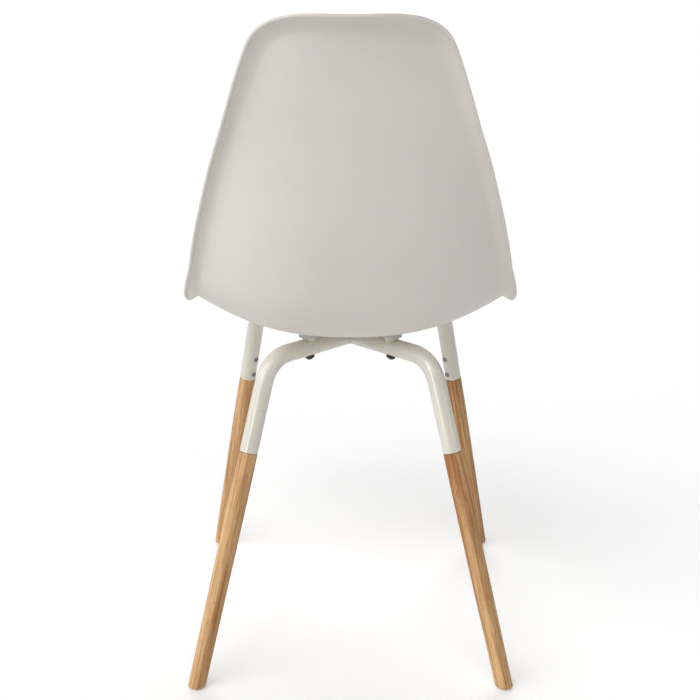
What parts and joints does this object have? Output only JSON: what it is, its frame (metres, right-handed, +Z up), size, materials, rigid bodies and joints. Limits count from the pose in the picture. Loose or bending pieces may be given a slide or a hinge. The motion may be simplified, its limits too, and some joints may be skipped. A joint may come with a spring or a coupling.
{
  "type": "dining chair",
  "caption": "Armless dining chair: one-piece moulded bucket shell on a welded cross of bent tubes that hold splayed round wooden legs.",
  "frame": {"origin": "on the floor, under the middle of the chair's bounding box", "axes": "+Z up; the sitter faces -Y; +X is the sitter's left; the back of the chair is at +Y"},
  "size_m": [0.441, 0.5344, 0.8476],
  "materials": {
    "shell_plastic": "satin light warm grey polypropylene with a very fine moulded texture",
    "pad_plastic": "satin light grey moulded plastic",
    "tube_lacquer": "satin cream white powder coat",
    "leg_wood": "clear matt lacquer on beech, grain along the leg",
    "screw_steel": "zinc plated, slightly dull",
    "bolt_steel": "dark zinc plated",
    "washer_black": "black moulded rubber",
    "insert_brass": "plain turned brass",
    "glide_plastic": "grey moulded nylon"
  },
  "bodies": {
    "root": {"seat_shell": "shell_plastic", "threaded_insert_rear_left": "insert_brass", "threaded_insert_rear_right": "insert_brass", "threaded_insert_front_left": "insert_brass", "threaded_insert_front_right": "insert_brass", "saddle_pad_rear_left": "pad_plastic", "saddle_pad_rear_right": "pad_plastic", "saddle_pad_front_left": "pad_plastic", "saddle_pad_front_right": "pad_plastic", "tube_rear_left": "tube_lacquer", "tube_rear_right": "tube_lacquer", "tube_front_left": "tube_lacquer", "tube_front_right": "tube_lacquer", "centre_weld": "tube_lacquer", "bolt_washer_rear_left": "washer_black", "bolt_washer_rear_right": "washer_black", "bolt_washer_front_left": "washer_black", "bolt_washer_front_right": "washer_black", "seat_bolt_rear_left": "bolt_steel", "seat_bolt_rear_right": "bolt_steel", "seat_bolt_front_left": "bolt_steel", "seat_bolt_front_right": "bolt_steel", "leg_rear_left": "leg_wood", "leg_rear_right": "leg_wood", "leg_front_left": "leg_wood", "leg_front_right": "leg_wood", "leg_screws_rear_left": "screw_steel", "leg_screws_rear_right": "screw_steel", "leg_screws_front_left": "screw_steel", "leg_screws_front_right": "screw_steel", "glide_rear_left": "glide_plastic", "glide_rear_right": "glide_plastic", "glide_front_left": "glide_plastic", "glide_front_right": "glide_plastic"}
  },
  "joints": []
}
